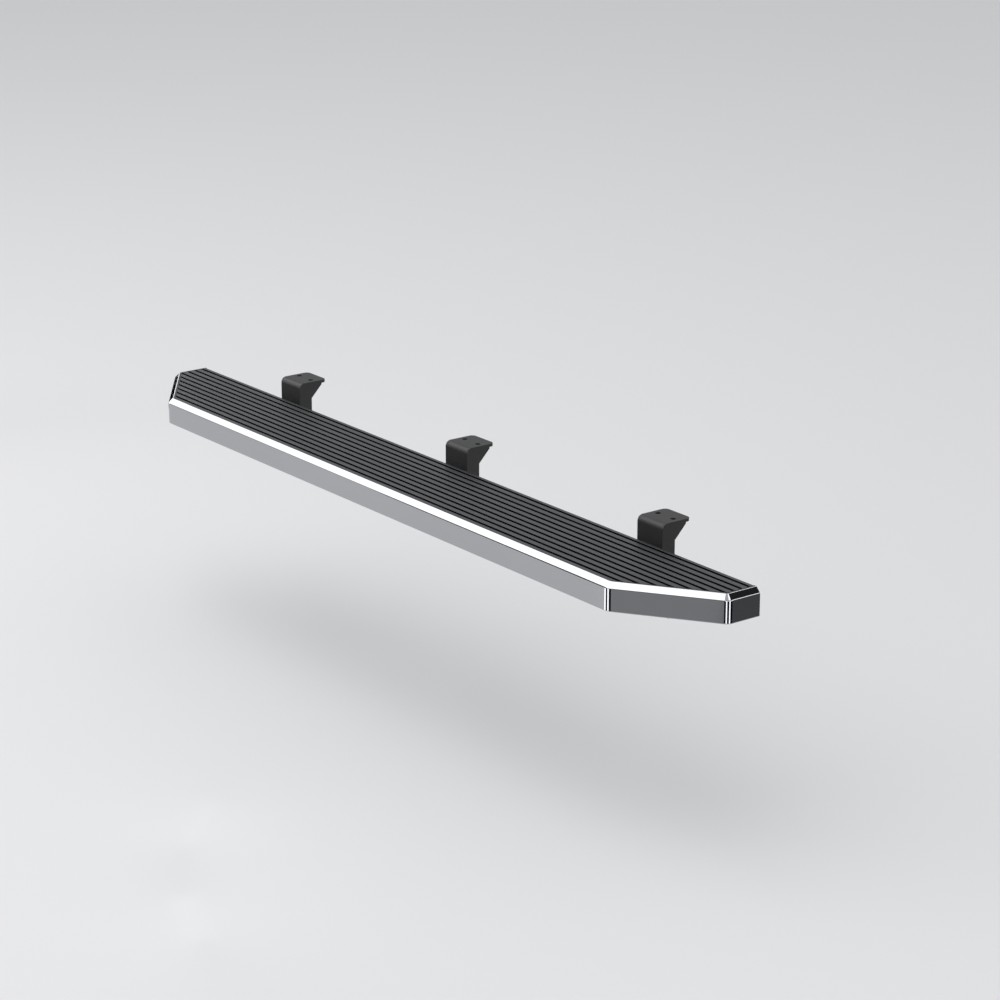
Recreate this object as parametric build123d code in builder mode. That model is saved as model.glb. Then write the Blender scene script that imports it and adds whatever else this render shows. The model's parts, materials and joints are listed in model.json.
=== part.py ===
from build123d import *
from math import atan2, cos, degrees, floor, radians, sin, tan
import os

# Running board for the side of a truck or sport utility vehicle, in millimetres.
# +X points to the front of the vehicle, -Y away from the vehicle, +Z up. The origin is the middle
# of the centre bracket's two bolt holes, on the face that is bolted up under the vehicle.
# A ribbed black aluminium extrusion is the step. A bent stainless band wraps its rear end, its long
# outer side and its front end, over a moulded cap at each end. Three steel brackets hang it, each on
# two bolts that slide in channels along the underside.

# ---- board ----
board_length = 1542.0
board_width = 165.0
board_height = 45.0
taper_run = 150.0  # along X, at each outer corner
taper_depth = 105.0  # across the board, at each outer corner
wall = 2.2
chamber_radius = 1.5

# ---- stainless band ----
trim_thickness = 1.2
trim_gap = 0.3  # between the band and what is behind it
face_height = 36.5  # upright face, below the bevel
bevel_angle = 45.0
shallow_bend = 22.0  # outside radius of the upright bends where the tapers start
end_bend = 14.0  # outside radius of the upright bends at the ends
knee_radius = 3.0  # outside of the fold between the upright face and the bevel
lip_width = 12.0  # turned in under the board
hem_radius = 1.5  # outside of the fold on top
hem_drop = 3.0  # straight part of the fold's inner leg
slit_clearance = 0.2  # each side of the hem's leg
slit_spare = 0.5  # below the hem's leg
nose_step = 2.0  # from the slit's floor up to the nose in front of it

# ---- tread ----
rib_pitch = 15.0
first_groove = 20.0  # centre line, from the outer face
groove_width = 5.6
groove_depth = 3.0
groove_margin = 8.0  # least distance from the last groove's centre to the inner edge
rib_radius = 0.5
edge_radius = 2.0

# ---- bolt channels ----
outer_channel = 50.0  # centre line, from the outer face
inner_channel = 40.0  # centre line, from the inner edge
head_clearance = 0.3
shank_clearance = 0.4
channel_lip = 3.0
channel_headroom = 0.7

# ---- end caps ----
cap_depth = 12.8  # from the band's outer face to the sawn end of the extrusion
cap_clearance = 0.2
pillar_radius = 4.5
boss_radius = 4.2

# ---- M8 hardware ----
bolt_diameter = 8.0
head_width = 13.0  # across flats, bolt and nut
head_height = 5.3
nut_height = 6.5
thread_clearance = 0.02
washer_diameter = 20.0
washer_clearance = 0.2  # round the bolt
washer_thickness = 1.8
spring_diameter = 14.2
spring_thickness = 2.0
spring_gap = 1.5
corner_ease = 0.2
washer_ease = 0.3
thread_ease = 1.0
bolt_end = 3.0  # thread showing below the nut

# ---- brackets ----
bracket_setback = 121.0  # from the middle of an end bracket to the start of the taper
bracket_width = 60.0
bracket_plate = 5.0
bracket_front = 26.0  # foot's outer end, from the outer face
riser_clearance = 1.5  # board's inner edge to the riser's bend, with the bracket pushed right out
mount_offset = 31.0  # from the riser's outer face to the bolt holes
mount_edge = 26.0  # from the bolt holes to the flange's inner end
mount_rise = 30.0  # vehicle-side face above the tread
mount_spacing = 36.0
mount_hole = 9.0
bend_inside = 5.0
bracket_corner = 8.0
cheek_thickness = 3.0
cheek_depth = 20.0
slot_clearance = 0.5  # each side of the bolt, in the foot's slots
slot_travel = 20.0

# ---- small screws ----
trim_screw_inset = 7.0
trim_screw_count = 6  # along the straight side
trim_screw_end = 84.0  # from the last one to the corner
trim_screw_diameter = 3.4
trim_screw_length = 9.0
trim_head_diameter = 7.2
trim_head_height = 2.2
cap_screw_diameter = 4.6
cap_screw_grip = 14.0  # length inside the extrusion
cap_head_diameter = 8.6
screw_clearance = 0.05

# ---- worked out ----
half_length = board_length / 2
riser_gap = riser_clearance + bend_inside + slot_travel / 2  # board's inner edge to the riser
outer_y = -(board_width + riser_gap + mount_offset)
base_z = -(board_height + mount_rise)
board_base = trim_thickness
taper_angle = degrees(atan2(taper_depth, taper_run))
band_bends = [end_bend, shallow_bend, shallow_bend, end_bend]
seat_inset = trim_thickness + trim_gap
fold_radius = seat_inset  # outside of the fold between the upright face and the lip
hem_start_z = board_height - hem_radius * (1 - cos(radians(bevel_angle)))
hem_start_y = (hem_start_z - face_height) / tan(radians(bevel_angle))
hem_end_y = hem_start_y + hem_radius * (1 + sin(radians(bevel_angle)))
hem_end_z = hem_start_z - hem_radius * cos(radians(bevel_angle))
slit_outer = hem_end_y - trim_thickness - slit_clearance
slit_inner = hem_end_y + slit_clearance
slit_floor = hem_end_z - hem_drop - slit_spare
nose_top = slit_floor + nose_step
nose_shift = seat_inset / cos(radians(bevel_angle))
washer_bore = bolt_diameter + 2 * washer_clearance
slot_width = bolt_diameter + 2 * slot_clearance
bracket_spacing = half_length - taper_run - bracket_setback
channel_width = head_width + 2 * head_clearance
channel_mouth = bolt_diameter + 2 * shank_clearance
head_seat = board_base + channel_lip
channel_top = head_seat + head_height + channel_headroom
deck_underside = board_height - groove_depth - wall
inner_channel_y = board_width - inner_channel
foot_underside = board_base - bracket_plate
washer_underside = foot_underside - washer_thickness
spring_underside = washer_underside - spring_thickness
nut_underside = spring_underside - nut_height

# Planes of the board's own frame: its outer face is y = 0 and the band's lower face is z = 0.
section_plane = Plane(origin=(0, outer_y, base_z), x_dir=(0, 1, 0), z_dir=(1, 0, 0))


def plan_plane(height):
    """Horizontal plane at a height above the band's lower face."""
    return Plane(origin=(0, outer_y, base_z + height))


def on_plan(points, height=0.0):
    """Points of the board's plan, at a height above the band's lower face, in the part's frame."""
    return [plan_plane(height).from_local_coords(Vector(x, y, 0)) for x, y in points]


def nose_z(inset):
    """Height of the seat under the bevel, at a distance in from the outer face."""
    return face_height + inset * tan(radians(bevel_angle)) - nose_shift


def nose_y(height):
    """Distance in from the outer face at which the seat under the bevel has a height."""
    return (height - face_height + nose_shift) / tan(radians(bevel_angle))


def corners(inset, back):
    """Six corners of the board's plan, its outer sides moved in by inset."""
    end_x = half_length - inset
    outer_x = half_length - taper_run - inset * tan(radians(taper_angle / 2))
    corner_y = taper_depth + inset * tan(radians((90 - taper_angle) / 2))
    return [
        (-end_x, back),
        (-end_x, corner_y),
        (-outer_x, inset),
        (outer_x, inset),
        (end_x, corner_y),
        (end_x, back),
    ]


def outline(inset, back):
    """Closed plan of the board, with its four outer corners rounded as the band is bent."""
    points = corners(inset, back)
    FilletPolyline(*points, radius=[radius - inset for radius in band_bends])
    Line(points[-1], points[0])


def sawn_plan(inset):
    """Plan of the extrusion between its two sawn ends, with the tapers run out to the outer face."""
    points = corners(inset, board_width)
    end_x, corner_y = points[4]
    tip_x = end_x - corner_y / tan(radians(taper_angle))
    return [(-end_x, board_width), (-end_x, corner_y), (-tip_x, 0), (tip_x, 0), points[4], points[5]]


def trim_screw_places():
    """Plan positions of the screws that hold the band's lip up against the board."""
    row = corners(trim_screw_inset, board_width)
    last_x = half_length - taper_run - trim_screw_end
    step = 2 * last_x / (trim_screw_count - 1)
    places = [(-last_x + step * index, trim_screw_inset) for index in range(trim_screw_count)]
    for first, second in ((0, 1), (1, 2), (3, 4), (4, 5)):
        (x1, y1), (x2, y2) = row[first], row[second]
        places.append(((x1 + x2) / 2, (y1 + y2) / 2))
    return places


def boss_places():
    """Where the end caps are screwed on: across the board and up."""
    web = inner_channel_y - channel_width / 2 - wall / 2
    last_chamber = inner_channel_y + channel_width / 2 + wall
    middle_z = (board_base + deck_underside) / 2
    return [
        (web, middle_z),
        (board_width - pillar_radius, middle_z),
        ((last_chamber + board_width) / 2, board_base + pillar_radius),
    ]


# ---- tread board ----
groove_count = floor((board_width - groove_margin - first_groove) / rib_pitch) + 1
grooves = [first_groove + rib_pitch * index for index in range(groove_count)]
nose_web = slit_inner + 2 * wall  # outer face of the first full-height chamber
channels = [outer_channel, inner_channel_y]
half_block = channel_width / 2 + wall
middle_web = (channels[0] + channels[1]) / 2

# Hollow chambers, each (near side, far side, underside, top).
floor_z = board_base + wall
chambers = [
    (seat_inset + wall, nose_web - wall, floor_z, nose_z(seat_inset) - wall),
    (nose_web, channels[0] - half_block, floor_z, deck_underside),
    (channels[0] + half_block, middle_web - wall / 2, floor_z, deck_underside),
    (middle_web + wall / 2, channels[1] - half_block, floor_z, deck_underside),
    (channels[1] + half_block, board_width - wall, floor_z, deck_underside),
]
for channel in channels:
    near = channel - channel_width / 2
    far = channel + channel_width / 2
    chambers.append((near, far, channel_top + wall, deck_underside))

with BuildPart() as tread_board:
    with BuildSketch(section_plane) as board_section:
        with BuildLine():
            Polyline(
                (seat_inset, board_base),
                (seat_inset, nose_z(seat_inset)),
                (nose_y(nose_top), nose_top),
                (slit_outer, nose_top),
                (slit_outer, slit_floor),
                (slit_inner, slit_floor),
                (slit_inner, board_height),
                (board_width, board_height),
                (board_width, board_base),
                close=True,
            )
        make_face()
        with Locations(*[(y, board_height) for y in grooves]):
            Rectangle(groove_width, 2 * groove_depth, mode=Mode.SUBTRACT)
        top = board_section.vertices().group_by(Axis.Y)[-1].sort_by(Axis.X)
        fillet(top[:-1], radius=rib_radius)
        inner_top = board_section.vertices().group_by(Axis.X)[-1].sort_by(Axis.Y)[-1]
        fillet(inner_top, radius=edge_radius)
        for near, far, low, high in chambers:
            with Locations(((near + far) / 2, (low + high) / 2)):
                RectangleRounded(far - near, high - low, chamber_radius, mode=Mode.SUBTRACT)
        with Locations(*boss_places()):
            Circle(boss_radius)
        with Locations(*boss_places()):
            Circle(cap_screw_diameter / 2 + screw_clearance, mode=Mode.SUBTRACT)
        for channel in channels:
            with Locations((channel, (head_seat + channel_top) / 2)):
                Rectangle(channel_width, channel_top - head_seat, mode=Mode.SUBTRACT)
            with Locations((channel, (board_base + head_seat) / 2)):
                Rectangle(channel_mouth, channel_lip, mode=Mode.SUBTRACT)
    extrude(amount=half_length, both=True)
    # Both ends are sawn off square and along the tapers, inside the caps.
    with BuildSketch(plan_plane(0)) as sawn:
        with BuildLine():
            Polyline(*sawn_plan(cap_depth + cap_clearance), close=True)
        make_face()
    extrude(amount=board_height, mode=Mode.INTERSECT)
    with BuildSketch(plan_plane(board_base)):
        with Locations(*trim_screw_places()[:trim_screw_count]):
            Circle(trim_screw_diameter / 2 + screw_clearance)
    extrude(amount=wall, mode=Mode.SUBTRACT)

# ---- stainless band ----
with BuildPart() as trim_frame:
    with BuildLine() as band_path:
        FilletPolyline(*on_plan(corners(0, board_width)), radius=band_bends)
    band_start = Plane(origin=band_path.line @ 0, x_dir=(1, 0, 0), z_dir=band_path.line % 0)
    with BuildSketch(band_start):
        with BuildLine() as skin:
            FilletPolyline(
                (lip_width, 0),
                (0, 0),
                (0, face_height),
                (hem_start_y, hem_start_z),
                radius=[fold_radius, knee_radius],
            )
            hem = JernArc(start=skin.line @ 1, tangent=skin.line % 1, radius=hem_radius, arc_size=-90 - bevel_angle)
            Line(hem @ 1, (hem @ 1) - (0, hem_drop))
            offset(amount=trim_thickness, side=Side.RIGHT)
        make_face()
    sweep()
    with BuildSketch(plan_plane(0)):
        with Locations(*trim_screw_places()):
            Circle(trim_screw_diameter / 2 + trim_gap)
    extrude(amount=trim_thickness, mode=Mode.SUBTRACT)

# ---- front end cap ----
with BuildPart() as end_cap_front:
    with BuildSketch(plan_plane(board_base)):
        with BuildLine():
            outline(seat_inset, board_width)
        make_face()
        with BuildLine():
            Polyline(*sawn_plan(cap_depth), close=True)
        make_face(mode=Mode.SUBTRACT)
        Rectangle(2 * (half_length - taper_run - 2 * cap_depth), 3 * board_width, mode=Mode.SUBTRACT)
        with Locations((-half_length, 0)):
            Rectangle(2 * half_length, 3 * board_width, mode=Mode.SUBTRACT)
    extrude(amount=board_height - board_base)
    # The seat for the band: under the bevel, and the slit for the hem's leg.
    with BuildLine() as seat_path:
        seat_start = (half_length - 2 * taper_run, 0)
        seat_corners = [seat_start, *corners(0, board_width + end_bend)[3:]]
        FilletPolyline(*on_plan(seat_corners), radius=band_bends[2:])
    with BuildSketch(Plane(origin=seat_path.line @ 0, x_dir=(0, 1, 0), z_dir=seat_path.line % 0)):
        with BuildLine():
            Polyline(
                (-seat_inset, nose_z(-seat_inset)),
                (nose_y(nose_top), nose_top),
                (slit_outer, nose_top),
                (slit_outer, slit_floor),
                (slit_inner, slit_floor),
                (slit_inner, board_height + wall),
                (-seat_inset, board_height + wall),
                close=True,
            )
        make_face()
    sweep(mode=Mode.SUBTRACT)
    # Hollowed from the side that meets the extrusion.
    with BuildSketch(plan_plane(floor_z)) as hollow:
        with BuildLine():
            outline(seat_inset + wall, board_width - wall)
        make_face()
    extrude(amount=nose_z(seat_inset) - wall - floor_z, mode=Mode.SUBTRACT)
    with BuildSketch(section_plane.offset(half_length - cap_depth)):
        with Locations(*boss_places()):
            Circle(pillar_radius)
    extrude(amount=cap_depth - seat_inset)
    # Countersunk holes for the screws, driven in before the band goes on.
    with Locations(section_plane.offset(half_length - seat_inset)):
        with Locations(*boss_places()):
            CounterSinkHole(
                radius=cap_screw_diameter / 2 + screw_clearance,
                counter_sink_radius=cap_head_diameter / 2 + screw_clearance,
                depth=cap_depth,
            )
    with BuildSketch(plan_plane(board_base)):
        with Locations(*trim_screw_places()[trim_screw_count:]):
            Circle(trim_screw_diameter / 2 + screw_clearance)
    extrude(amount=wall, mode=Mode.SUBTRACT)

# ---- rear end cap ----
with BuildPart() as end_cap_rear:
    mirror(end_cap_front.part, about=Plane.YZ)


def pointed_screw(head_profile, diameter, length):
    """A screw along -Z with its head's profile as (radius, height) pairs, and a tapered point."""
    shank = diameter / 2
    with BuildPart() as one:
        with BuildSketch(Plane.XZ):
            with BuildLine():
                Polyline(*head_profile, (shank, shank - length), (shank / 2, -length), (0, -length), close=True)
            make_face()
        revolve(axis=Axis.Z)
    return one.part


# ---- screws of the end caps ----
cap_head = cap_head_diameter / 2
cap_shank = cap_screw_diameter / 2
cap_screw = pointed_screw(
    [(0, 0), (cap_head, 0), (cap_shank, cap_shank - cap_head)],
    cap_screw_diameter,
    cap_depth - seat_inset + cap_screw_grip,
)
with BuildPart() as end_cap_screws:
    with Locations(section_plane.offset(half_length - seat_inset)):
        with Locations(*boss_places()):
            add(cap_screw)
    mirror(about=Plane.YZ)

# ---- screws of the band ----
trim_head = trim_head_diameter / 2
trim_shank = trim_screw_diameter / 2
trim_screw = pointed_screw(
    [
        (0, trim_head_height),
        (trim_head / 2, trim_head_height),
        (trim_head, trim_head_height / 3),
        (trim_head, 0),
        (trim_shank, 0),
    ],
    trim_screw_diameter,
    trim_screw_length,
)
with BuildPart() as trim_screws:
    # Turned over: heads under the lip, points up.
    with Locations(Plane(plan_plane(0).origin, x_dir=(1, 0, 0), z_dir=(0, 0, -1))):
        with Locations(*[(x, -y) for x, y in trim_screw_places()]):
            add(trim_screw)


def hexagon(height):
    """A hexagonal prism standing on the origin, its flats along X and its corners eased."""
    flat = head_width / 2
    corner = flat / cos(radians(30))
    ease = (corner - flat) * tan(radians(30)) + corner_ease
    with BuildPart() as one:
        with BuildSketch():
            RegularPolygon(flat, 6, major_radius=False)
        extrude(amount=height)
        with BuildSketch(Plane.XZ):
            with BuildLine():
                Polyline(
                    (0, 0),
                    (flat, 0),
                    (corner, ease),
                    (corner, height - ease),
                    (flat, height),
                    (0, height),
                    close=True,
                )
            make_face()
        revolve(axis=Axis.Z, mode=Mode.INTERSECT)
    return one.part


def bolt_places(x, height):
    """Both bolts' centres at a height above the band's lower face."""
    return on_plan([(x, y) for y in channels], height)


def channel_bolts(x):
    """Bolts with their heads in the board's channels and their threads down through the foot."""
    with BuildPart() as bolts:
        with Locations(*bolt_places(x, head_seat)):
            add(hexagon(head_height))
        with BuildSketch(plan_plane(head_seat)):
            with Locations(*[(x, y) for y in channels]):
                Circle(bolt_diameter / 2)
        extrude(amount=nut_underside - bolt_end - head_seat)
        chamfer(bolts.edges().group_by(Axis.Z)[0], length=thread_ease)
    return bolts


def flat_washers(x):
    """Wide washers that bridge the slots."""
    with BuildPart() as washers:
        with BuildSketch(plan_plane(washer_underside)):
            with Locations(*[(x, y) for y in channels]):
                Circle(washer_diameter / 2)
                Circle(washer_bore / 2, mode=Mode.SUBTRACT)
        extrude(amount=washer_thickness)
        chamfer(washers.edges().group_by(Axis.Z)[0].group_by(SortBy.RADIUS)[-1], length=washer_ease)
    return washers


def spring_washers(x):
    """Split washers, pressed flat."""
    with BuildPart() as washers:
        with BuildSketch(plan_plane(spring_underside)):
            with Locations(*[(x, y) for y in channels]):
                Circle(spring_diameter / 2)
                Circle(washer_bore / 2, mode=Mode.SUBTRACT)
            with Locations(*[(x + spring_diameter / 2, y) for y in channels]):
                Rectangle(spring_diameter, spring_gap, mode=Mode.SUBTRACT)
        extrude(amount=spring_thickness)
    return washers


def nuts(x):
    """Hexagon nuts."""
    with BuildPart() as pair:
        with Locations(*bolt_places(x, nut_underside)):
            add(hexagon(nut_height))
        with BuildSketch(plan_plane(nut_underside)):
            with Locations(*[(x, y) for y in channels]):
                Circle(bolt_diameter / 2 + thread_clearance)
        extrude(amount=nut_height, mode=Mode.SUBTRACT)
    return pair


def bracket(x):
    """Bent steel strip: foot under the board, riser behind it, flange up under the vehicle."""
    riser_y = board_width + riser_gap
    mount_y = riser_y + mount_offset
    inner_y = mount_y + mount_edge
    top_z = board_height + mount_rise
    half_plate = bracket_plate / 2
    with BuildPart() as bent:
        with BuildSketch(section_plane.offset(x)):
            with BuildLine():
                FilletPolyline(
                    (bracket_front, board_base),
                    (riser_y, board_base),
                    (riser_y, top_z),
                    (inner_y, top_z),
                    radius=[bend_inside, bend_inside + bracket_plate],
                )
                offset(amount=bracket_plate, side=Side.RIGHT)
            make_face()
        extrude(amount=bracket_width / 2, both=True)
        upright = bent.edges().filter_by(Axis.Z).group_by(Axis.Y)
        fillet(upright[0] + upright[-1], radius=bracket_corner)
        # Two welded cheeks stiffen the strip on its hidden side.
        for side in (-1, 1):
            middle = side * (bracket_width - cheek_thickness) / 2
            with BuildSketch(section_plane.offset(x + middle)) as cheek:
                with BuildLine():
                    Polyline(
                        (bracket_front + bracket_corner + half_plate, board_base - half_plate),
                        (bracket_front + bracket_corner + half_plate, foot_underside - half_plate),
                        (riser_y - cheek_depth, foot_underside - cheek_depth),
                        (riser_y + cheek_depth / 2, foot_underside - cheek_depth),
                        (riser_y + bracket_plate + cheek_depth, foot_underside - half_plate),
                        (riser_y + bracket_plate + cheek_depth, top_z - mount_rise),
                        (inner_y - bracket_corner - half_plate, top_z - bracket_plate - half_plate),
                        (inner_y - bracket_corner - half_plate, top_z - half_plate),
                        (riser_y + half_plate, top_z - half_plate),
                        (riser_y + half_plate, board_base - half_plate),
                        close=True,
                    )
                make_face()
                fillet(cheek.vertices().sort_by_distance((riser_y + cheek_depth, foot_underside))[:3], half_plate)
            extrude(amount=cheek_thickness / 2, both=True)
        with BuildSketch(plan_plane(foot_underside)):
            with Locations(*[(x, y) for y in channels]):
                SlotOverall(slot_width + slot_travel, slot_width, rotation=90)
        extrude(amount=bracket_plate, mode=Mode.SUBTRACT)
        with BuildSketch(plan_plane(top_z - bracket_plate)):
            with Locations((x, mount_y)):
                with GridLocations(mount_spacing, 0, 2, 1):
                    Circle(mount_hole / 2)
        extrude(amount=bracket_plate, mode=Mode.SUBTRACT)
    return bent


finished = {
    "tread_board": tread_board,
    "trim_frame": trim_frame,
    "end_cap_front": end_cap_front,
    "end_cap_rear": end_cap_rear,
    "end_cap_screws": end_cap_screws,
    "trim_screws": trim_screws,
}
for place, x in (("front", bracket_spacing), ("centre", 0), ("rear", -bracket_spacing)):
    finished[f"bracket_{place}"] = bracket(x)
    finished[f"channel_bolts_{place}"] = channel_bolts(x)
    finished[f"flat_washers_{place}"] = flat_washers(x)
    finished[f"spring_washers_{place}"] = spring_washers(x)
    finished[f"nuts_{place}"] = nuts(x)

os.makedirs("parts", exist_ok=True)
for name, piece in finished.items():
    piece.part.label = name
    export_step(piece.part, f"parts/{name}.step")
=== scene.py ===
import json
import math

import bmesh
import bpy
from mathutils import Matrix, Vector


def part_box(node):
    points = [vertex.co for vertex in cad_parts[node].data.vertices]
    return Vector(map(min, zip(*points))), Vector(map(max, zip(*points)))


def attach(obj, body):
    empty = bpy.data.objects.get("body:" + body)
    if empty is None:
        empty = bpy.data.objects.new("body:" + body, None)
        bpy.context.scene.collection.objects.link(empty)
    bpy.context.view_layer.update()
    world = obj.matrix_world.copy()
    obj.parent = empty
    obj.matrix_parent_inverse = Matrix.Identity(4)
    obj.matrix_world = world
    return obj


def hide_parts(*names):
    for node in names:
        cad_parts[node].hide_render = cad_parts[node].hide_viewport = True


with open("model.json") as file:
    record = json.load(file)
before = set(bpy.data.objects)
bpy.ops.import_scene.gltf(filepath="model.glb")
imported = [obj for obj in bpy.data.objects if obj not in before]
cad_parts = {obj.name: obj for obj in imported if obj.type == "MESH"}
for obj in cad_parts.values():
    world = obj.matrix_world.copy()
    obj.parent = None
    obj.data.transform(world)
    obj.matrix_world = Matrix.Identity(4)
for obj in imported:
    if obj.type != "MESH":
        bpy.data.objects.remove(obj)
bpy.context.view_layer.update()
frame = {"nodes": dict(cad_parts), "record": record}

# ---- the board, from the frame ----
band_low, band_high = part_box("trim_frame")
board_low, board_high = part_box("tread_board")
outer_y = band_low.y
base_z = band_low.z
half_length = band_high.x
board_width = band_high.y - band_low.y
board_height = band_high.z - band_low.z

# ---- the band's own sizes ----
taper_run = 0.150
taper_depth = 0.105
band_thickness = 0.0012
face_height = 0.0365
shallow_bend = 0.022  # outside radius of the upright bends where the tapers start
end_bend = 0.014  # where the tapers meet the ends
lip_width = 0.012
fold_radius = 0.0015
knee_radius = 0.003  # fold between the upright face and the bevel
hem_radius = 0.0015
hem_drop = 0.003
bevel_angle = math.radians(45)
fold_steps = 10
hem_steps = 16
bend_steps = 28
band_sharp_angle = math.radians(35)  # a sharper crease than this stays an edge

# ---- the scene ----
floor_drop = 0.36  # from the board's underside to the floor
camera_place = Vector((3.7794, -2.5824, 1.4755))  # from the middle of the board's outer lower edge
camera_azimuth = math.radians(52.936)
camera_elevation = math.radians(17.727)
camera_lens = 106.29  # mm
camera_sensor = 36  # mm wide


# ---------------------------------------------------------------- materials
def new_material(name, colour, metallic, roughness):
    """A Principled material and its node tree; returns (material, nodes, links, shader)."""
    made = bpy.data.materials.new(name)
    made.use_nodes = True
    nodes, links = made.node_tree.nodes, made.node_tree.links
    shader = nodes["Principled BSDF"]
    shader.inputs["Base Color"].default_value = (*colour, 1)
    shader.inputs["Metallic"].default_value = metallic
    shader.inputs["Roughness"].default_value = roughness
    return made, nodes, links, shader


def noise(nodes, links, scale, detail=3.0, stretch=(1, 1, 1), distortion=0.0):
    """Object-space noise, stretched along the axes."""
    place = nodes.new("ShaderNodeTexCoord")
    mapping = nodes.new("ShaderNodeMapping")
    mapping.inputs["Scale"].default_value = stretch
    texture = nodes.new("ShaderNodeTexNoise")
    texture.inputs["Scale"].default_value = scale
    texture.inputs["Detail"].default_value = detail
    texture.inputs["Distortion"].default_value = distortion
    links.new(place.outputs["Object"], mapping.inputs["Vector"])
    links.new(mapping.outputs["Vector"], texture.inputs["Vector"])
    return texture.outputs["Fac"]


def remap(nodes, links, value, low, high, out_low, out_high):
    """Maps low..high of a value to out_low..out_high, clamped."""
    node = nodes.new("ShaderNodeMapRange")
    node.inputs["From Min"].default_value = low
    node.inputs["From Max"].default_value = high
    node.inputs["To Min"].default_value = out_low
    node.inputs["To Max"].default_value = out_high
    links.new(value, node.inputs["Value"])
    return node.outputs["Result"]


def blend_colours(nodes, links, factor, first, second):
    """Mixes two colours, each a plain triple or a colour socket."""
    mix = nodes.new("ShaderNodeMix")
    mix.data_type = "RGBA"
    links.new(factor, mix.inputs["Factor"])
    for socket, colour in ((mix.inputs["A"], first), (mix.inputs["B"], second)):
        if isinstance(colour, tuple):
            socket.default_value = (*colour, 1)
        else:
            links.new(colour, socket)
    return mix.outputs["Result"]


def bump(nodes, links, shader, height, strength, distance):
    """Adds a bump to a shader."""
    node = nodes.new("ShaderNodeBump")
    node.inputs["Strength"].default_value = strength
    node.inputs["Distance"].default_value = distance
    links.new(height, node.inputs["Height"])
    links.new(node.outputs["Normal"], shader.inputs["Normal"])


def multiply(nodes, links, first, second):
    """Product of two values."""
    node = nodes.new("ShaderNodeMath")
    node.operation = "MULTIPLY"
    links.new(first, node.inputs[0])
    links.new(second, node.inputs[1])
    return node.outputs["Value"]


def polished_stainless():
    """Mirror-polished steel: faint buffing lines along the band, fingerprints of roughness."""
    made, nodes, links, shader = new_material("polished_stainless", (0.420, 0.428, 0.446), 1, 0.07)
    smears = remap(nodes, links, noise(nodes, links, 9, 4, distortion=0.6), 0.35, 0.7, 0.045, 0.085)
    links.new(smears, shader.inputs["Roughness"])
    lines = noise(nodes, links, 60, 2, stretch=(0.04, 0.04, 26))
    bump(nodes, links, shader, lines, 0.012, 0.0002)
    tint = remap(nodes, links, noise(nodes, links, 3, 2), 0.3, 0.7, 0, 1)
    colour = blend_colours(nodes, links, tint, (0.412, 0.420, 0.438), (0.428, 0.436, 0.453))
    links.new(colour, shader.inputs["Base Color"])
    return made


# Of the tread: where the painted shade in its grooves fades in below the rib tops, low end and high end,
# and its colours. The near-black groove colour is painted shade for the shadow between the ribs, not a
# colour of the coat.
groove_shade_low = (0.0042, 0.0036)
groove_shade_high = (0.0004, 0.0001)
coat_dark = (0.0200, 0.0208, 0.0228)
coat_light = (0.0252, 0.0262, 0.0285)
coat_rubbed = (0.0352, 0.0362, 0.0388)
coat_sheen = (0.9, 0.935, 1)
# Painted shade for the grooves, not the coat's own colour.
groove_painted_shade = (0.002, 0.002, 0.0021)


def tread_black():
    """Satin black powder coat on the extrusion: rib tops rubbed greyer, grooves painted near black with
    their sheen turned down, as painted shade.
    """
    made, nodes, links, shader = new_material("tread_black", (0.018, 0.018, 0.0185), 0, 0.42)
    place = nodes.new("ShaderNodeTexCoord")
    split = nodes.new("ShaderNodeSeparateXYZ")
    links.new(place.outputs["Object"], split.inputs["Vector"])
    tread_top = board_high.z
    height = split.outputs["Z"]
    # Mask of the painted shade: from just under the rib tops down to a little below the groove floors.
    above_floor = remap(nodes, links, height, tread_top - groove_shade_low[0], tread_top - groove_shade_low[1], 0, 1)
    below_top = remap(nodes, links, height, tread_top - groove_shade_high[0], tread_top - groove_shade_high[1], 1, 0)
    groove_shade_mask = multiply(nodes, links, above_floor, below_top)
    scuffs = remap(nodes, links, noise(nodes, links, 24, 6, stretch=(0.12, 1.6, 1)), 0.5, 0.72, 0, 1)
    clouds = remap(nodes, links, noise(nodes, links, 7, 3), 0.3, 0.7, 0, 1)
    coat = blend_colours(nodes, links, clouds, coat_dark, coat_light)
    rubbed = blend_colours(nodes, links, scuffs, coat, coat_rubbed)
    # The grooves are painted near black: painted shade for the shadow between the ribs.
    colour = blend_colours(nodes, links, groove_shade_mask, rubbed, groove_painted_shade)
    links.new(colour, shader.inputs["Base Color"])
    # The sheen is turned down in the grooves as well, so the painted shade stays dark.
    links.new(remap(nodes, links, groove_shade_mask, 0, 1, 0.56, 0.03), shader.inputs["Specular IOR Level"])
    shader.inputs["Specular Tint"].default_value = (*coat_sheen, 1)
    links.new(remap(nodes, links, scuffs, 0, 1, 0.38, 0.5), shader.inputs["Roughness"])
    peel = noise(nodes, links, 900, 3)
    bump(nodes, links, shader, peel, 0.25, 0.0001)
    return made


def black_plastic():
    """Fine-grained black moulding."""
    made, nodes, links, shader = new_material("black_plastic", (0.010, 0.010, 0.0105), 0, 0.55)
    mottled = remap(nodes, links, noise(nodes, links, 30, 3), 0.3, 0.7, 0, 1)
    colour = blend_colours(nodes, links, mottled, (0.009, 0.009, 0.0095), (0.014, 0.014, 0.0145))
    links.new(colour, shader.inputs["Base Color"])
    links.new(remap(nodes, links, mottled, 0, 1, 0.5, 0.62), shader.inputs["Roughness"])
    bump(nodes, links, shader, noise(nodes, links, 1400, 2), 0.4, 0.0001)
    return made


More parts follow.
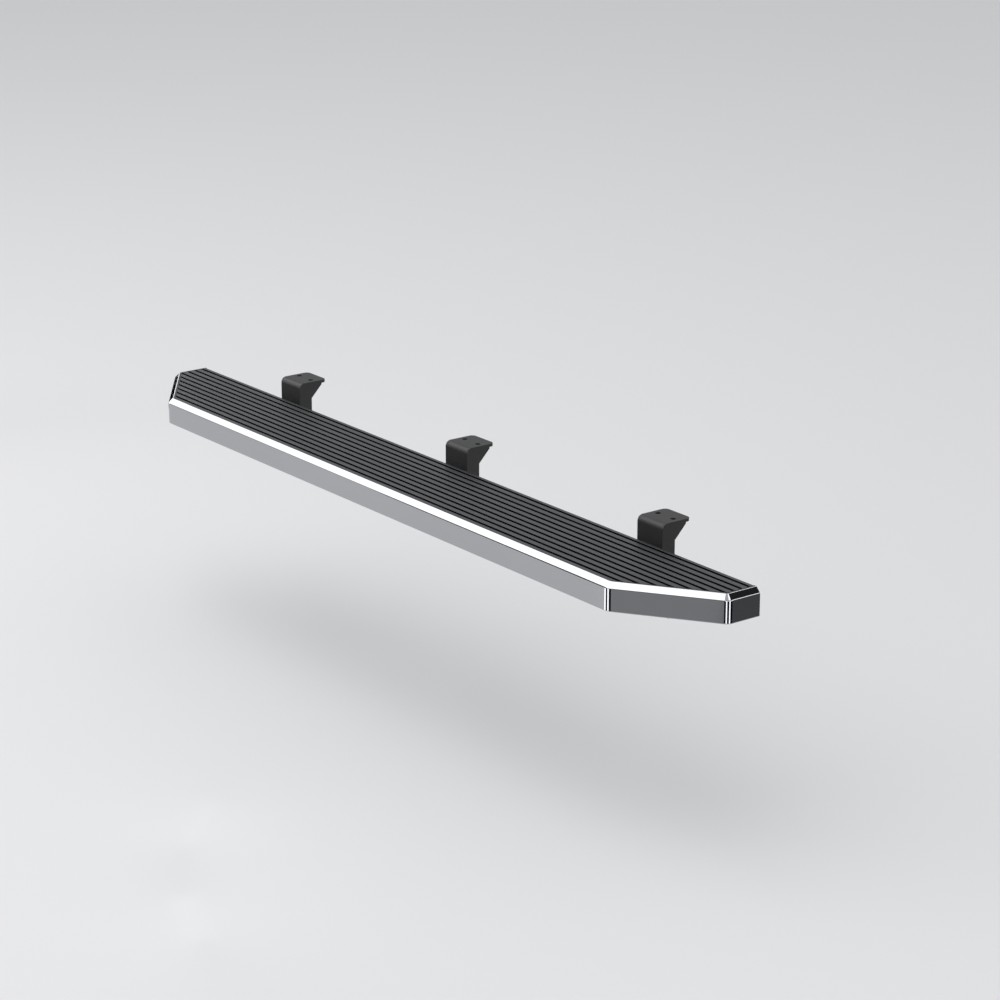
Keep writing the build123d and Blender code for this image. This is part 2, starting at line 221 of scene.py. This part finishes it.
def bracket_black():
    """Textured powder coat on pressed steel."""
    made, nodes, links, shader = new_material("bracket_black", (0.015, 0.015, 0.0155), 0, 0.5)
    clouds = remap(nodes, links, noise(nodes, links, 14, 4), 0.3, 0.7, 0, 1)
    colour = blend_colours(nodes, links, clouds, (0.0140, 0.0140, 0.0145), (0.0165, 0.0165, 0.0170))
    links.new(colour, shader.inputs["Base Color"])
    links.new(remap(nodes, links, clouds, 0, 1, 0.46, 0.54), shader.inputs["Roughness"])
    bump(nodes, links, shader, noise(nodes, links, 700, 4), 0.5, 0.00015)
    return made


def zinc_steel():
    """Bright zinc plate: soft blotches with a faint blue and straw cast."""
    made, nodes, links, shader = new_material("zinc_steel", (0.58, 0.585, 0.6), 1, 0.3)
    blotches = remap(nodes, links, noise(nodes, links, 160, 3), 0.3, 0.7, 0, 1)
    colour = blend_colours(nodes, links, blotches, (0.50, 0.52, 0.56), (0.64, 0.62, 0.57))
    links.new(colour, shader.inputs["Base Color"])
    links.new(remap(nodes, links, blotches, 0, 1, 0.24, 0.4), shader.inputs["Roughness"])
    bump(nodes, links, shader, noise(nodes, links, 1200, 2), 0.15, 0.00008)
    return made


materials = {
    "polished_stainless": polished_stainless(),
    "tread_black": tread_black(),
    "black_plastic": black_plastic(),
    "bracket_black": bracket_black(),
    "zinc_steel": zinc_steel(),
}
for part in frame["record"]["subparts"]:
    node = frame["nodes"][part["node"]]
    for material_slot in node.material_slots:
        material_slot.material = materials[part["material_slot"]]


# ---------------------------------------------------------------- the polished band
def arc(centre, radius, start, turn, steps):
    """Points and outward directions round an arc, its two ends left out."""
    rows = []
    for index in range(1, steps):
        angle = start + turn * index / steps
        way = Vector((math.cos(angle), math.sin(angle)))
        rows.append((centre + radius * way, way))
    return rows


def band_section():
    """The band's cross-section, as (distance in, height) pairs: outer skin, then inner skin back."""
    left, down, up = Vector((-1, 0)), Vector((0, -1)), Vector((0, 1))
    slope = Vector((-math.sin(bevel_angle), math.cos(bevel_angle)))
    hem_start_z = board_height - hem_radius * (1 - math.cos(bevel_angle))
    hem_start = Vector(((hem_start_z - face_height) / math.tan(bevel_angle), hem_start_z))
    hem_centre = hem_start - hem_radius * slope
    hem_end = hem_centre + Vector((hem_radius, 0))
    knee = knee_radius * math.tan(bevel_angle / 2)
    lower = Vector((fold_radius, fold_radius))
    upper = Vector((knee_radius, face_height - knee))
    quarter = math.pi / 2
    skin = [(Vector((lip_width, 0)), down), (Vector((fold_radius, 0)), down)]
    skin += arc(lower, fold_radius, -quarter, -quarter, fold_steps)
    skin += [(Vector((0, fold_radius)), left), (Vector((0, face_height - knee)), left)]
    skin += arc(upper, knee_radius, 2 * quarter, -bevel_angle, fold_steps)
    skin += [(upper + knee_radius * slope, slope), (hem_start, slope)]
    skin += arc(hem_centre, hem_radius, quarter + bevel_angle, -quarter - bevel_angle, hem_steps)
    skin += [(hem_end, -left), (hem_end - hem_drop * up, -left)]
    outside = [point for point, _ in skin]
    inside = [point - band_thickness * way for point, way in skin]
    return outside + inside[::-1]


def band_stations():
    """Places along the band's outer lower edge with the direction inboard: (plan point, way in)."""
    corner_x = half_length - taper_run
    bends = [None, end_bend, shallow_bend, shallow_bend, end_bend]  # at each point below
    points = [
        Vector((-half_length, board_width)),
        Vector((-half_length, taper_depth)),
        Vector((-corner_x, 0)),
        Vector((corner_x, 0)),
        Vector((half_length, taper_depth)),
        Vector((half_length, board_width)),
    ]
    stations = []
    for index in range(1, len(points)):
        before, here = points[index - 1], points[index]
        along = (here - before).normalized()
        inward = Vector((-along.y, along.x))
        if index == 1:
            stations.append((before, inward))
        if index == len(points) - 1:
            stations.append((here, inward))
            break
        after = (points[index + 1] - here).normalized()
        turn = math.acos(max(-1, min(1, along.dot(after))))
        radius = bends[index]
        reach = radius * math.tan(turn / 2)
        centre = here - reach * along + radius * inward
        first = math.atan2(-inward.y, -inward.x)
        for step in range(bend_steps + 1):
            angle = first + turn * step / bend_steps
            out = Vector((math.cos(angle), math.sin(angle)))
            stations.append((centre + radius * out, -out))
    return stations


def polished_band():
    """One smooth skin swept round the board."""
    section = band_section()
    mesh = bpy.data.meshes.new("polished_band")
    shape = bmesh.new()
    rings = []
    for place, inward in band_stations():
        ring = []
        for inset, height in section:
            spot = place + inset * inward
            ring.append(shape.verts.new((spot.x, outer_y + spot.y, base_z + height)))
        rings.append(ring)
    count = len(section)
    for first, second in zip(rings, rings[1:]):
        for index in range(count):
            after = (index + 1) % count
            shape.faces.new((first[index], first[after], second[after], second[index]))
    shape.faces.new(rings[0][::-1])
    shape.faces.new(rings[-1])
    bmesh.ops.recalc_face_normals(shape, faces=shape.faces)
    for face in shape.faces:
        face.smooth = True
    shape.to_mesh(mesh)
    shape.free()
    band = bpy.data.objects.new("polished_band", mesh)
    bpy.context.scene.collection.objects.link(band)
    mesh.materials.append(materials["polished_stainless"])
    mesh.set_sharp_from_angle(angle=band_sharp_angle)
    weighted = band.modifiers.new("flat faces stay flat", "WEIGHTED_NORMAL")
    weighted.keep_sharp = True
    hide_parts("trim_frame")
    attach(band, "board")


polished_band()


# ---------------------------------------------------------------- bolts with real threads
places = ("centre", "front", "rear")
bolt_radius = 0.004
thread_root = 0.00335
thread_pitch = 0.00125
thread_flank = 2.3  # above 2 the crests are flat
thread_runout = 0.0003  # from the last turn to the plain shank
rows_per_turn = 8
threaded_length = 0.0118
end_chamfer_radius = 0.003  # at the bolt's very end
head_flat = 0.0065  # middle of the head to each flat
head_height = 0.0053
head_chamfer = 0.0006  # high
head_chamfer_share = 1.01  # of head_flat, where the chamfer ends
bolt_steps = 48
bolt_sharp_angle = 28  # degrees
outer_channel = 0.050  # inboard from the band's outer face
inner_channel = 0.040  # outboard from the board's inner edge
channel_rows = (outer_y + outer_channel, outer_y + board_width - inner_channel)


def hex_radius(angle):
    """Distance from a hexagon's middle to its side, its corners at multiples of 60 degrees."""
    return head_flat / math.cos((angle % (math.pi / 3)) - math.pi / 6)


def thread_radius(height, angle):
    """Radius of a right-hand thread, its first turn run out to a chamfer."""
    phase = (height / thread_pitch - angle / (2 * math.pi)) % 1
    flank = min(1, thread_flank * min(phase, 1 - phase))
    return min(thread_root + (bolt_radius - thread_root) * flank, end_chamfer_radius + height)


def chamfered_radius(angle):
    """The head's outline where its chamfer ends: a hexagon with its corners cut to a circle."""
    return min(hex_radius(angle), head_flat * head_chamfer_share)


def bolt_rows(length):
    """Rows of (height above the bolt's end, function of the angle) up one bolt."""
    rows = []
    count = int(threaded_length / (thread_pitch / rows_per_turn))
    for index in range(count + 1):
        height = threaded_length * index / count
        rows.append((height, lambda angle, height=height: thread_radius(height, angle)))
    under_head = length - head_height
    rows.append((threaded_length + thread_runout, lambda angle: bolt_radius))
    rows.append((under_head, lambda angle: bolt_radius))
    rows.append((under_head, chamfered_radius))
    rows.append((under_head + head_chamfer, hex_radius))
    rows.append((length - head_chamfer, hex_radius))
    rows.append((length, chamfered_radius))
    return rows


def turned(shape, x, y, bottom, rows):
    """Skins a stack of rows round an upright axis."""
    rings = []
    for height, radius in rows:
        ring = []
        for step in range(bolt_steps):
            angle = 2 * math.pi * step / bolt_steps
            reach = radius(angle)
            spot = (x + reach * math.cos(angle), y + reach * math.sin(angle), bottom + height)
            ring.append(shape.verts.new(spot))
        rings.append(ring)
    for low, high in zip(rings, rings[1:]):
        for index in range(bolt_steps):
            after = (index + 1) % bolt_steps
            shape.faces.new((low[index], low[after], high[after], high[index]))
    shape.faces.new(rings[0][::-1])
    shape.faces.new(rings[-1])


def finished_piece(name, shape, body, slot, smooth_angle):
    """Turns a bmesh into an object that moves with a body."""
    for face in shape.faces:
        face.smooth = True
    mesh = bpy.data.meshes.new(name)
    shape.to_mesh(mesh)
    shape.free()
    made = bpy.data.objects.new(name, mesh)
    bpy.context.scene.collection.objects.link(made)
    mesh.materials.append(materials[slot])
    mesh.set_sharp_from_angle(angle=math.radians(smooth_angle))
    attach(made, body)
    return made


def threaded_bolts(place):
    """Both channel bolts of one bracket, as one piece."""
    low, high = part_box(f"channel_bolts_{place}")
    shape = bmesh.new()
    for y in channel_rows:
        turned(shape, (low.x + high.x) / 2, y, low.z, bolt_rows(high.z - low.z))
    name, body = f"threaded_bolts_{place}", f"hardware_{place}"
    made = finished_piece(name, shape, body, "zinc_steel", bolt_sharp_angle)
    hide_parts(f"channel_bolts_{place}")


for place in places:
    threaded_bolts(place)


# ---------------------------------------------------------------- welds
bracket_plate = 0.005
cheek_thickness = 0.003
bead_size = 0.0023
bead_end = 0.35  # share of the size left at a bead's two ends
bead_blunt = 12  # the higher, the more suddenly a bead ends
bead_root = 0.0004  # how far a bead's hidden edge goes into the corner
bead_lag = 0.0006  # how far the middle of each ripple runs ahead
bead_ripple = 0.0016
ripple_share = 0.09  # of the size
rows_per_ripple = 6
bead_steps = 7
weld_sharp_angle = 60  # degrees
flange_depth = 0.052  # from the riser's back to the flange's edge
foot_underside = base_z + band_thickness - bracket_plate
foot_stitches = ((0.060, 0.086), (0.100, 0.124), (0.140, 0.166))  # inboard from the band's outer face
riser_stitches = ((0.012, 0.033), (0.043, 0.062))  # up from the band's underside
flange_stitches = ((0.008, 0.026),)  # from the riser's back


def weld(shape, start, end, away, inward):
    """A rippled fillet bead in the corner between a bent strip and its cheek, from start to end."""
    along = (end - start).normalized()
    length = (end - start).length
    count = int(length / (bead_ripple / rows_per_ripple))
    rings = []
    for index in range(count + 1):
        run = length * index / count
        closing = math.sqrt(max(0, 1 - (2 * run / length - 1) ** bead_blunt))
        ripple = 1 + ripple_share * math.sin(2 * math.pi * run / bead_ripple)
        size = bead_size * (bead_end + (1 - bead_end) * closing) * ripple
        ring = [start + run * along - bead_root * (away + inward)]
        for step in range(bead_steps):
            angle = math.pi / 2 * step / (bead_steps - 1)
            lag = bead_lag * math.sin(2 * angle)
            reach = size * (math.cos(angle) * away + math.sin(angle) * inward)
            ring.append(start + (run + lag) * along + reach)
        rings.append([shape.verts.new(spot) for spot in ring])
    for first, second in zip(rings, rings[1:]):
        for index in range(bead_steps + 1):
            after = (index + 1) % (bead_steps + 1)
            shape.faces.new((first[index], first[after], second[after], second[index]))
    shape.faces.new(rings[0][::-1])
    shape.faces.new(rings[-1])


def bracket_welds(place):
    """Stitches along both cheeks: under the foot, up the riser and under the flange."""
    low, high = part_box(f"bracket_{place}")
    middle = (low.x + high.x) / 2
    riser_back = high.y - flange_depth
    flange_underside = high.z - bracket_plate
    down, back = Vector((0, 0, -1)), Vector((0, 1, 0))
    stitches = []
    for first, last in foot_stitches:
        stitches.append(((outer_y + first, foot_underside), (outer_y + last, foot_underside), down))
    for first, last in riser_stitches:
        stitches.append(((riser_back, base_z + first), (riser_back, base_z + last), back))
    for first, last in flange_stitches:
        start, end = riser_back + first, riser_back + last
        stitches.append(((start, flange_underside), (end, flange_underside), down))
    shape = bmesh.new()
    for side in (-1, 1):
        x = middle + side * ((high.x - low.x) / 2 - cheek_thickness)
        for start, end, away in stitches:
            weld(shape, Vector((x, *start)), Vector((x, *end)), away, Vector((-side, 0, 0)))
    bmesh.ops.recalc_face_normals(shape, faces=shape.faces)
    finished_piece(f"welds_{place}", shape, f"bracket_{place}_body", "bracket_black", weld_sharp_angle)


for place in places:
    bracket_welds(place)


# ---------------------------------------------------------------- floor, cards and light
floor_colour = (0.80, 0.80, 0.805)
floor_roughness = 0.9
floor_reach = 30
studio_colour = (0.99, 1.0, 1.02)
studio_strength = 0.64
key_place = (-1.5, -3.0, 5.0)
key_size = (8.0, 8.0)
key_power = 215
card_colour = (1, 1, 1.01)


def glowing_material(name, colour, strength):
    """A stage material that gives its own light."""
    made = bpy.data.materials.new(name)
    made.use_nodes = True
    nodes, links = made.node_tree.nodes, made.node_tree.links
    nodes.clear()
    glow = nodes.new("ShaderNodeEmission")
    glow.inputs["Color"].default_value = (*colour, 1)
    glow.inputs["Strength"].default_value = strength
    output = nodes.new("ShaderNodeOutputMaterial")
    links.new(glow.outputs["Emission"], output.inputs["Surface"])
    return made


def sheet_mesh(name, corners, material):
    """A flat four-cornered stage piece."""
    mesh = bpy.data.meshes.new(name)
    mesh.from_pydata([tuple(corner) for corner in corners], [], [(0, 1, 2, 3)])
    mesh.materials.append(material)
    made = bpy.data.objects.new(name, mesh)
    bpy.context.scene.collection.objects.link(made)
    return made


def floor():
    """Plain pale floor."""
    low, far = base_z - floor_drop, floor_reach
    corners = [(-far, -far, low), (far, -far, low), (far, far, low), (-far, far, low)]
    sheet_mesh("floor", corners, new_material("floor", floor_colour, 0, floor_roughness)[0])


def reflection_only(made):
    """Hides a stage piece from everything but reflections."""
    made.visible_camera = False
    made.visible_diffuse = False
    made.visible_shadow = False
    made.visible_transmission = False


def area_light(name, place, target, size, power):
    """A soft rectangular light aimed at a point."""
    lamp = bpy.data.lights.new(name, "AREA")
    lamp.shape = "RECTANGLE"
    lamp.size, lamp.size_y = size
    lamp.energy = power
    made = bpy.data.objects.new(name, lamp)
    made.location = place
    made.rotation_mode = "QUATERNION"
    made.rotation_quaternion = (Vector(target) - Vector(place)).to_track_quat("-Z", "Y")
    bpy.context.scene.collection.objects.link(made)


def world_light(colour, strength):
    """Even studio light from all round."""
    world = bpy.data.worlds.new("studio")
    world.use_nodes = True
    ground = world.node_tree.nodes["Background"]
    ground.inputs["Color"].default_value = (*colour, 1)
    ground.inputs["Strength"].default_value = strength
    bpy.context.scene.world = world


floor()
world_light(studio_colour, studio_strength)
area_light("key", key_place, (0, outer_y + board_width / 2, base_z), key_size, key_power)

# What the polished band mirrors: a bright sky over the open side, and the pale yard, dark wheels and
# dark body that stand round the ends of a parked vehicle's running board.
front_corner = Vector((half_length, outer_y + taper_depth))
rear_corner = Vector((-half_length, outer_y + taper_depth))
floor_z = base_z - floor_drop
mirror_distance = 0.8
mirror_top = base_z + 0.06
outboard_top = base_z - 0.13  # low enough for the long face's upper fold to look over it
end_top = base_z + 0.26
dark, bright = 0.004, 2.6
taper_grey, end_grey, facet_grey = 0.37, 0.107, 0.82

# Round the front corner: first and last bearing in degrees from +X, top and brightness.
front_mirror = [
    (-141, -129, outboard_top, bright),
    (-129, -116.5, mirror_top, dark),
    (-116.5, -106, mirror_top, bright),
    (-106, -89.5, mirror_top, dark),
    (-89.5, -68.3, mirror_top, taper_grey),
    (-68.3, -46, mirror_top, dark),
    (-46, -32, mirror_top, bright),
    (-32, -6, mirror_top, dark),
    (-6, 9, mirror_top, bright),
    (9, 37, mirror_top, dark),
    (37, 75, end_top, end_grey),
]

# Level cards: one corner and the opposite one in plan, height and brightness.
level_mirror = [
    ((-5.5, -4.5), (0.5, -0.5), 2.6, bright),
    ((0.5, -4.5), (1.6, -1.2), 2.6, bright),
    ((0.5, -1.2), (2.3, 0.08), 2.6, facet_grey),
    ((1.2, 0.08), (2.6, 1.1), 2.6, bright),
    ((0.75, 0.52), (2.6, 2.6), 1.5, 0.028),
]

# Single upright cards: name, corner they stand round, distance, first and last bearing, bottom, top and
# brightness. The first two are glints along the end bevel's edges, and horizon_outboard is the thin dark
# line under the long bevel. Behind the rear taper it is dark low down and pale above.
single_cards = [
    ("end_fold_glint", front_corner, mirror_distance, 35, 65, end_top, base_z + 0.55, bright),
    ("end_hem_glint", front_corner, 1.2, 78, 112, base_z + 1.0, base_z + 1.9, 3.0),
    ("horizon_outboard", front_corner, 3.0, -149, -125, floor_z, base_z + 1.6, dark),
    ("horizon_taper", front_corner, 2.6, -92, -50, floor_z, base_z + 1.0, 0.1),
    ("corner_fold_glint", front_corner, mirror_distance, -62, -12, mirror_top, end_top, bright),
    ("corner_fold_glint", front_corner, mirror_distance, -12, 37, mirror_top, end_top, bright),
    ("rear_low", rear_corner, 1.3, 138, 188, floor_z, base_z - 0.02, dark),
    ("rear_high", rear_corner, 1.3, 150, 168, base_z - 0.02, base_z + 0.22, 3.5),
    ("rear_bend", rear_corner, 1.25, 172, 202, base_z, base_z + 1.0, bright),
]


def level_card(name, low, high, height, strength):
    """A level card that only shows in reflections."""
    corners = [(*low, height), (high[0], low[1], height), (*high, height), (low[0], high[1], height)]
    reflection_only(sheet_mesh(name, corners, glowing_material(name, card_colour, strength)))


def upright_card(name, centre, distance, first, last, low, high, strength):
    """An upright card between two bearings round a point, that only shows in reflections."""
    ends = []
    for bearing in (first, last):
        turn = math.radians(bearing)
        ends.append(centre + distance * Vector((math.cos(turn), math.sin(turn))))
    corners = [(*ends[0], low), (*ends[1], low), (*ends[1], high), (*ends[0], high)]
    reflection_only(sheet_mesh(name, corners, glowing_material(name, card_colour, strength)))


for number, (low, high, height, strength) in enumerate(level_mirror):
    level_card(f"level_{number}", low, high, height, strength)
for number, (first, last, high, strength) in enumerate(front_mirror):
    upright_card(f"front_{number}", front_corner, mirror_distance, first, last, floor_z, high, strength)
for name, *card in single_cards:
    upright_card(name, *card)


# ---------------------------------------------------------------- camera
def make_camera():
    """Outside and in front of the board, looking down on it through a long lens."""
    data = bpy.data.cameras.new("camera")
    data.lens = camera_lens
    data.sensor_width = camera_sensor
    data.clip_start = 0.1
    data.clip_end = 100
    camera = bpy.data.objects.new("camera", data)
    camera.location = Vector((0, outer_y, base_z)) + camera_place
    back = Vector(
        (
            math.sin(camera_azimuth) * math.cos(camera_elevation),
            -math.cos(camera_azimuth) * math.cos(camera_elevation),
            math.sin(camera_elevation),
        )
    )
    camera.rotation_mode = "QUATERNION"
    camera.rotation_quaternion = (-back).to_track_quat("-Z", "Y")
    bpy.context.scene.collection.objects.link(camera)
    bpy.context.scene.camera = camera


make_camera()
bpy.context.scene.view_settings.view_transform = "Standard"
